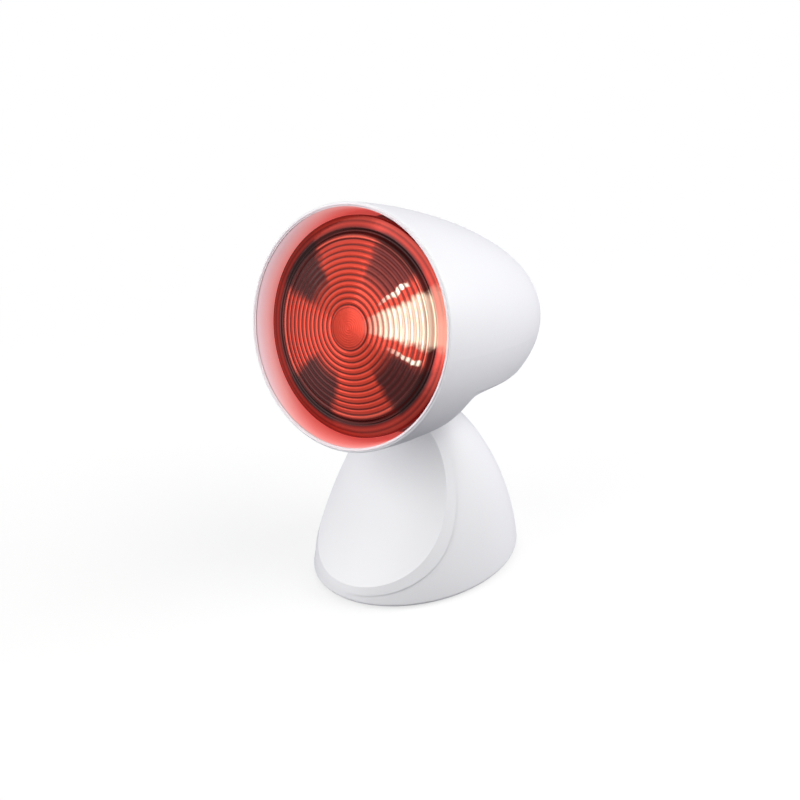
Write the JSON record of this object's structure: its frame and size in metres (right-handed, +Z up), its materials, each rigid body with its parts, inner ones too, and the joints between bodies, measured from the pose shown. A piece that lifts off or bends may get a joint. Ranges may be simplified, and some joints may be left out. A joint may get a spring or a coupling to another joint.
{
  "type": "infrared heat therapy lamp",
  "caption": "Table lamp for infrared warmth: a tilting egg-shaped shade with a red reflector bulb on a bell-shaped foot with a rocker switch.",
  "frame": {"origin": "on the table, under the middle of the foot, at the middle of the centre rubber pad", "axes": "+Z up; the lamp looks towards -Y and its inlet points to +Y; +X is to the right as seen from the front"},
  "size_m": [0.136, 0.177, 0.2348],
  "materials": {
    "white_abs": "gloss white moulded ABS",
    "white_liner": "white heat-resistant moulding",
    "grey_abs": "light grey matt moulding",
    "black_nylon": "black moulded nylon",
    "filled_nylon": "glass-filled nylon, off-white",
    "rubber": "moulded rubber",
    "steel": "zinc-plated steel",
    "iron": "cast ballast",
    "brass": "nickelled brass",
    "aluminium": "bright aluminium sheet",
    "red_glass": "red pressed glass",
    "mirror_glass": "aluminised glass bowl",
    "clear_glass": "clear glass",
    "ceramic": "glazed ceramic",
    "black_glass": "black vitrite insulator",
    "tungsten": "tungsten wire",
    "sheath": "silicone sheath"
  },
  "bodies": {
    "base": {"base_shell": "white_abs", "front_panel": "white_abs", "bottom_plate": "grey_abs", "base_screws": "steel", "rubber_feet": "rubber", "ballast_plate": "iron", "ballast_screws": "steel", "hinge_post": "filled_nylon", "post_screws": "steel", "hinge_pins": "steel", "friction_washers": "black_nylon", "cable_gland": "black_nylon", "gland_nut": "black_nylon", "terminal_block": "filled_nylon", "terminal_screws": "steel", "switch_body": "black_nylon", "switch_tabs": "brass", "switch_leads": "sheath", "base_cable": "sheath"},
    "rocker": {"switch_rocker": "black_nylon"},
    "head": {"spring_washers": "steel", "head_shell": "white_abs", "shade_liner": "white_liner", "hinge_cover": "white_abs", "hinge_cover_screws": "steel", "rear_cap": "white_abs", "bulb_lens": "red_glass", "bulb_reflector": "mirror_glass", "bulb_cap": "aluminium", "bulb_insulator": "black_glass", "bulb_contact": "brass", "filament": "tungsten", "filament_supports": "steel", "glass_stem": "clear_glass", "lamp_holder": "ceramic", "thread_shell": "brass", "holder_contact": "brass", "holder_bracket": "steel", "bracket_screws": "steel", "holder_screws": "steel", "heat_shield": "aluminium", "head_cable": "sheath"}
  },
  "joints": [
    {"name": "head_tilt", "type": "hinge", "parent": "base", "child": "head", "pos_m": [0, 0.0028, 0.1088], "axis": [-1, 0, 0], "range_deg": [-16.4, 16.4]},
    {"name": "switch_rock", "type": "hinge", "parent": "base", "child": "rocker", "pos_m": [0, 0.05639, 0.04219], "axis": [0, -0.4067, 0.9135], "range_deg": [-18, 0]}
  ]
}
